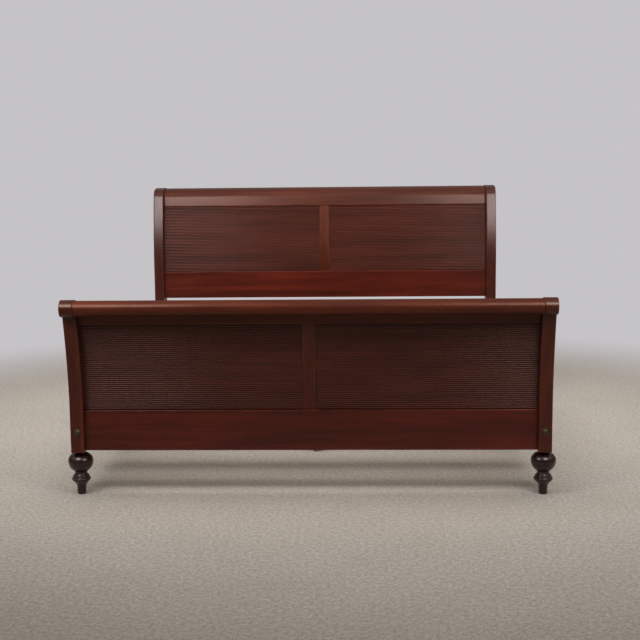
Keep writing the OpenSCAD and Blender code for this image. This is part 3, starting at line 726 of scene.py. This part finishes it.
for seed, side in enumerate(SIDES.values()):
    dress(f"side_rail_{side}", red_mahogany(f"side_rail_{side}_wood", "Y", 70 + seed), 0.002)
    dress(f"ledger_{side}", poplar(f"ledger_{side}_wood", "Y", 75 + seed), 0.0008)
for i in range(1, 8):
    dress(f"slat_{i}", poplar(f"slat_{i}_wood", "X", 80 + i), 0.0008)
for i in range(1, 4):
    dress(f"support_leg_{i}", poplar(f"support_leg_{i}_wood", "Z", 90 + i), 0.0008)
dress("rail_dowels", poplar("rail_dowels_wood", "Y", 95))
for node in ("leg_glides", "bed_bolts", "bolt_washers", "barrel_nuts", "ledger_screws", "slat_screws",
             "leg_screws"):
    dress(node, STEEL)
dress("cover_screws", BRASS)


# ---------------------------------------------------------------- floor, light and camera
PRINT_GAMMA = 0.75                      # a camera's contrast: dark tones come out deeper


def printed(red, green, blue):
    """The scene colour that comes out of the camera's contrast as this sRGB colour."""
    return rgb(*(255 * (c / 255) ** PRINT_GAMMA for c in (red, green, blue)))


BACKDROP = printed(197, 195, 198)
FLOOR_HALF = 40.0
FADE_START, FADE_END = 2.5, 4.4         # how far from its middle the floor turns into the backdrop
FADE_SHIFT = (0.0, 0.4, 0.0)            # that middle lies a little in front of the bed's
CEILING, CEILING_BACK = 0.60, 0.12      # brightness overhead, and the part of it left behind the bed
AMBIENT_LOW, AMBIENT_HIGH = 0.05, 0.30  # brightness from the floor line up to the walls
WARM_WHITE = (1.0, 0.985, 0.97, 1.0)
SOFTBOX_SPREAD = math.radians(120)
CONCRETE_LIGHT, CONCRETE_DARK = rgb(216, 210, 203), rgb(164, 157, 148)
CONCRETE_STAIN = rgb(140, 124, 104)


def make_floor():
    """Pale speckled concrete that fades into the backdrop for the camera."""
    mesh = bpy.data.meshes.new("floor")
    corners = [(-1, -1), (1, -1), (1, 1), (-1, 1)]
    mesh.from_pydata([(FLOOR_HALF * x, FLOOR_HALF * y, 0) for x, y in corners], [], [(0, 1, 2, 3)])
    floor = bpy.data.objects.new("floor", mesh)
    bpy.context.scene.collection.objects.link(floor)
    material = bpy.data.materials.new("polished_concrete")
    material.use_nodes = True
    n = Nodes(material.node_tree)
    place = n.add("ShaderNodeTexCoord").outputs["Object"]
    clouds = n.remap(n.noise(place, 1.7, 5.0, 0.6), 0.20, 0.80)
    flecks = n.remap(n.noise(place, 60.0, 4.0, 0.75), 0.38, 0.62)
    grit = n.remap(n.noise(place, 190.0, 2.0, 0.6), 0.36, 0.64)
    shade = n.math("ADD", n.math("MULTIPLY", flecks, 0.45), n.math("MULTIPLY", clouds, 0.10))
    shade = n.math("ADD", shade, n.math("MULTIPLY", grit, 0.45))
    ground = n.mix(shade, CONCRETE_DARK, CONCRETE_LIGHT)
    stains = n.math("MULTIPLY", n.remap(n.noise(place, 3.0, 4.0, 0.7), 0.5, 0.7), 0.06, True)
    relief = n.add("ShaderNodeBump", {"Strength": 0.25, "Distance": 0.001, "Height": flecks})
    slab = n.add("ShaderNodeBsdfDiffuse", {"Color": n.mix(stains, ground, CONCRETE_STAIN),
                                           "Normal": relief.outputs[0]})
    from_middle = n.add("ShaderNodeVectorMath", {0: place, 1: FADE_SHIFT}, operation="ADD")
    away = n.add("ShaderNodeVectorMath", {0: from_middle.outputs[0]}, operation="LENGTH").outputs["Value"]
    seen = n.add("ShaderNodeLightPath").outputs["Is Camera Ray"]
    fade = n.math("MULTIPLY", n.remap(away, FADE_START, FADE_END, 0.0, 1.0, True), seen)
    glow = n.add("ShaderNodeEmission", {"Color": BACKDROP, "Strength": 1.0})
    surface = n.add("ShaderNodeMixShader", {0: fade, 1: slab.outputs[0], 2: glow.outputs[0]})
    n.add("ShaderNodeOutputMaterial", {"Surface": surface.outputs[0]})
    mesh.materials.append(material)


def make_world():
    """A soft ceiling, dim below the height of the eye, and a plain backdrop for the camera."""
    world = bpy.data.worlds.new("studio")
    bpy.context.scene.world = world
    world.use_nodes = True
    n = Nodes(world.node_tree)
    way = n.add("ShaderNodeSeparateXYZ", {0: n.add("ShaderNodeTexCoord").outputs["Generated"]})
    ceiling = n.math("MULTIPLY", n.remap(way.outputs["Z"], 0.30, 0.62, 0.0, CEILING, True),
                     n.remap(way.outputs["Y"], -0.15, 0.45, 1.0, CEILING_BACK, True))
    ambient = n.remap(way.outputs["Z"], -0.05, 0.35, AMBIENT_LOW, AMBIENT_HIGH, True)
    strength = n.math("ADD", ceiling, ambient)
    light = n.add("ShaderNodeBackground", {"Color": WARM_WHITE, "Strength": strength})
    shown = n.add("ShaderNodeBackground", {"Color": BACKDROP, "Strength": 1.0})
    seen = n.add("ShaderNodeLightPath").outputs["Is Camera Ray"]
    mixed = n.add("ShaderNodeMixShader", {0: seen, 1: light.outputs[0], 2: shown.outputs[0]})
    n.add("ShaderNodeOutputWorld", {"Surface": mixed.outputs[0]})


def make_softbox(name, place, target, width, height, radiance):
    """A soft rectangular light that the camera does not see."""
    light = bpy.data.lights.new(name, "AREA")
    light.shape, light.size, light.size_y = "RECTANGLE", width, height
    light.energy = radiance * math.pi * width * height
    light.spread = SOFTBOX_SPREAD
    lamp = bpy.data.objects.new(name, light)
    lamp.location = place
    lamp.rotation_euler = (Vector(target) - Vector(place)).to_track_quat("-Z", "Y").to_euler()
    lamp.visible_camera = False
    bpy.context.scene.collection.objects.link(lamp)
    return lamp


def make_camera():
    """The photographer's place: in front of the footboard, a little right of its middle."""
    yaw, pitch, roll = 0.03635, 0.13527, -0.010235
    ahead = Vector((-math.sin(yaw) * math.cos(pitch), math.cos(yaw) * math.cos(pitch), -math.sin(pitch)))
    camera = bpy.data.objects.new("camera", bpy.data.cameras.new("camera"))
    camera.data.sensor_width, camera.data.lens = 36.0, 65.86
    camera.rotation_mode = "QUATERNION"
    camera.rotation_quaternion = (ahead.to_track_quat("-Z", "Y").to_matrix().to_4x4()
                                  @ Matrix.Rotation(roll, 4, "Z")).to_quaternion()
    camera.location = (0.2295, -6.0746, 1.4475)
    bpy.context.scene.collection.objects.link(camera)
    bpy.context.scene.camera = camera


make_floor()
make_world()
make_softbox("softbox_left", (-1.50, -2.50, 2.40), (-0.3, 0.4, 0.9), 1.30, 1.3, 3.6)
make_softbox("softbox_right", (1.60, -2.90, 2.40), (0.3, 0.4, 0.9), 1.30, 1.3, 3.6)
overhead = make_softbox("overhead", (0.0, -0.6, 2.9), (0.0, 1.1, 0.8), 3.2, 2.2, 1.5)
rear_fill = make_softbox("rear_fill", (0.0, 4.6, 2.4), (0.0, 1.0, 0.7), 3.0, 1.6, 0.8)
for lamp in (overhead, rear_fill):
    lamp.visible_glossy = False
make_camera()
bpy.context.scene.view_settings.view_transform = "Standard"
bpy.context.scene.view_settings.gamma = PRINT_GAMMA
